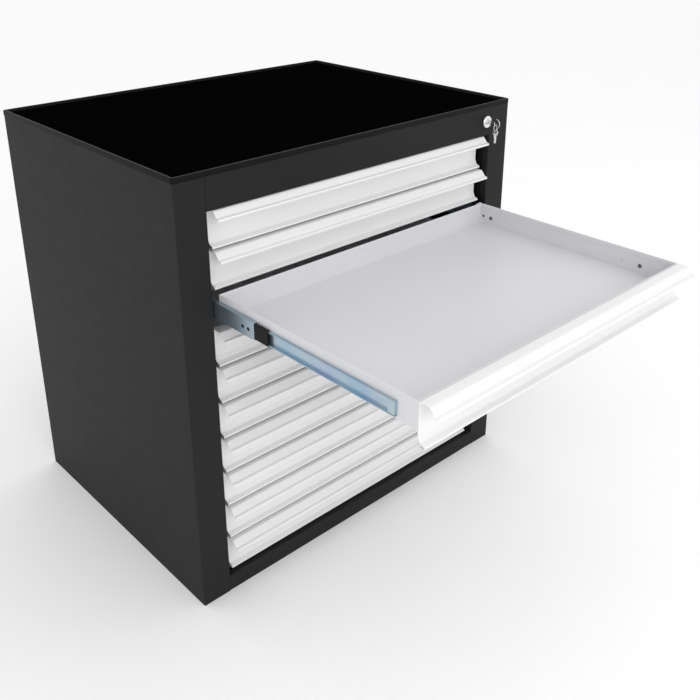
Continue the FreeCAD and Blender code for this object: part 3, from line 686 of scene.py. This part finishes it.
# Every CAD node gets the finish of what it is made of, also one that a piece above replaces.
finishes = {
    "left_side_panel": bodyPaint,
    "right_side_panel": bodyPaint,
    "rear_panel": bodyPaint,
    "base_panel": bodyPaint,
    "top_rail": bodyPaint,
    "top_panel": bodyPaint,
    "top_rim": rimPlastic,
    "top_mat": matRubber,
    # The posts inside take the darker copy of the body paint, a painted shade.
    "left_uprights": shadedInnerPaint,
    "right_uprights": shadedInnerPaint,
    "lock_housing": chrome,
    "lock_plug": chrome,
    "key": chrome,
    "key_ring": chrome,
    "spare_key": chrome,
    "fasteners": steel,
}


# A slide's faces by their place: the cage is black plastic, and the rivets' heads are dark steel.
slideValues = {
    "cageSide": 0.0013,
    "cageLevel": 0.0014,
    "headSide": 0.0082,
}


def cageFinish(centre, low, high):
    side = high[0] - slideValues["cageSide"] > abs(centre.x)
    level = (high[2] - low[2]) / 2 - slideValues["cageLevel"] > abs(centre.z - (low[2] + high[2]) / 2)
    return 1 if side and level else 0


def rivetFinish(centre, low, high):
    return 2 if high[0] - slideValues["headSide"] > abs(centre.x) else 0


def dressSlides(name, shown, chosen):
    low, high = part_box(name)
    shown.data.materials.append(blackPlastic)
    shown.data.materials.append(darkSteel)
    for face in shown.data.polygons:
        face.material_index = chosen(face.center, low, high)


def dressNodes():
    kinds = {"tray": trayPaint, "front": drawerPaint, "inner_slides": zinc, "middle_slides": zinc}
    tests = {"inner_slides": rivetFinish, "middle_slides": cageFinish}
    for name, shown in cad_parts.items():
        material = finishes.get(name, zinc)
        kind = name[len("drawer_00_"):]
        if name.startswith("drawer_"):
            material = kinds[kind]
        shown.data.materials.clear()
        shown.data.materials.append(material)
        if name.startswith("drawer_") and kind in tests:
            dressSlides(name, shown, tests[kind])


dressNodes()
print("nodes dressed")


# Camera: above and to the left of the open drawer, with its optical centre shifted up.
cameraValues = {
    "place": (-1.31, -1.73, 1.50),
    "aim": (0.631, 0.680, -0.372),
    "lens": 45.25,
    "sensor": 36,
    "shift": -0.15,
}


def makeCamera():
    data = bpy.data.cameras.new("camera")
    data.lens = cameraValues["lens"]
    data.sensor_width = cameraValues["sensor"]
    data.shift_y = cameraValues["shift"]
    data.dof.use_dof = False
    camera = bpy.data.objects.new("camera", data)
    camera.location = cameraValues["place"]
    camera.rotation_euler = Vector(cameraValues["aim"]).to_track_quat("-Z", "Y").to_euler()
    bpy.context.scene.collection.objects.link(camera)
    bpy.context.scene.camera = camera


# Studio: a pale floor, a soft key from the front, a wide overhead and a gentle fill.
floorValues = {
    "half": 30,
    "cloud": 4,
    "dull": (0.96, 0.96, 0.96),
    "bright": (0.98, 0.98, 0.98),
}


def makeFloor():
    values = floorValues
    work = bmesh.new()
    bmesh.ops.create_grid(work, x_segments=1, y_segments=1, size=values["half"])
    mesh = bpy.data.meshes.new("floor")
    work.to_mesh(mesh)
    work.free()
    finish = Finish("floorWhite", Roughness=1.0, Specular_IOR_Level=0.0)
    finish.colour(finish.blend(finish.noise(values["cloud"]), values["dull"], values["bright"]))
    mesh.materials.append(finish.material)
    floor = bpy.data.objects.new("floor", mesh)
    bpy.context.scene.collection.objects.link(floor)


# Each lamp: its place, what it points at, its size and its power.
lampValues = {
    "keyLight": ((-0.9, -4.2, 2.0), (0, -0.4, 0.5), (2.4, 2.0), 36),
    "overhead": ((0.4, -0.6, 3.8), (0, -0.2, 0.5), (3.0, 3.0), 6),
    "fillLight": ((3.2, -2.2, 1.8), (0, -0.2, 0.5), (2.0, 2.4), 5),
}


def makeLamp(name, place, target, size, power):
    data = bpy.data.lights.new(name, "AREA")
    data.shape = "RECTANGLE"
    data.size = size[0]
    data.size_y = size[1]
    data.energy = power
    lamp = bpy.data.objects.new(name, data)
    lamp.location = place
    lamp.rotation_euler = (Vector(target) - Vector(place)).to_track_quat("-Z", "Y").to_euler()
    bpy.context.scene.collection.objects.link(lamp)


# World: the light on the object, and the white that the camera, gloss and clear things see.
worldValues = {
    "light": 0.98,
    "shown": 1.0,
}


def makeWorld():
    world = bpy.data.worlds.new("studio")
    bpy.context.scene.world = world
    world.use_nodes = True
    tree = world.node_tree
    tree.nodes.clear()
    path = node(tree, "ShaderNodeLightPath")
    soft, plain = [
        node(tree, "ShaderNodeBackground", {"Color": (1, 1, 1, 1), "Strength": worldValues[key]})
        for key in ("light", "shown")
    ]
    shown = Field(tree, path.outputs["Is Camera Ray"])
    for kind in ("Is Glossy Ray", "Is Transmission Ray"):
        shown = shown.maths("MAXIMUM", Field(tree, path.outputs[kind]))
    mixed = node(tree, "ShaderNodeMixShader", [shown.socket, soft.outputs[0], plain.outputs[0]])
    node(tree, "ShaderNodeOutputWorld", [mixed.outputs[0]])


makeCamera()
makeFloor()
for name, given in lampValues.items():
    makeLamp(name, *given)
makeWorld()
bpy.context.scene.view_settings.view_transform = "Standard"
print("studio made")
